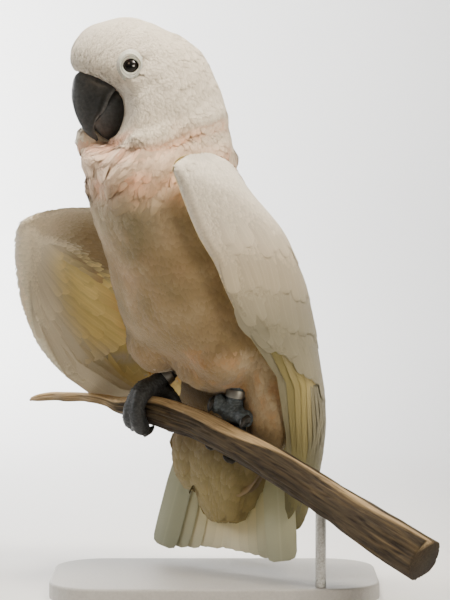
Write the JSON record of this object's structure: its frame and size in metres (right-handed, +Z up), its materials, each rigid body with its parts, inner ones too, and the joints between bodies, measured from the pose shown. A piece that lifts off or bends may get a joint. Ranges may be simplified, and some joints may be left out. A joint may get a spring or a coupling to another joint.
{
  "type": "life-size salmon-crested cockatoo model on a branch and display stand",
  "caption": "Life-size still model of a white cockatoo with half-open wings, gripping a short branch held by a plain display stand.",
  "frame": {"origin": "middle of the whole model's box, at the height of the stand's underside", "axes": "+Z up; the face looks along -X; the chest faces between -X and -Y, 40 degrees from -Y; the branch falls towards +X"},
  "size_m": [0.316, 0.2782, 0.4364],
  "materials": {
    "plumage": "soft overlapping white body feathers with a pale salmon tint, yellow under the wings",
    "flight": "stiff white wing and tail feathers, yellow at the base of their inner vanes",
    "bill": "charcoal horn with a dusty satin surface, paler and worn along its edges",
    "eye": "near-black dark brown, wet gloss",
    "foot": "charcoal scaly skin, dull",
    "claw": "black horn, satin",
    "ring": "plain, worn satin metal",
    "wood": "weathered dark grey-brown bark with a bare tan strip along the top",
    "base": "board with off-white satin paint",
    "steel": "brushed along its length"
  },
  "bodies": {
    "root": {"head": "plumage", "neck": "plumage", "chin": "plumage", "trunk": "plumage", "rump": "plumage", "thigh_left": "plumage", "thigh_right": "plumage", "wing_left": "plumage", "wing_right": "plumage", "wing_left_primaries": "flight", "wing_right_primaries": "flight", "tail": "flight", "bill_upper": "bill", "bill_lower": "bill", "eye_left": "eye", "eye_right": "eye", "foot_left": "foot", "foot_right": "foot", "claw_left_1": "claw", "claw_left_2": "claw", "claw_left_3": "claw", "claw_left_4": "claw", "claw_right_1": "claw", "claw_right_2": "claw", "claw_right_3": "claw", "claw_right_4": "claw", "leg_ring_left": "ring", "leg_ring_right": "ring", "perch": "wood", "stand_base": "base", "stand_rod": "steel"}
  },
  "joints": []
}
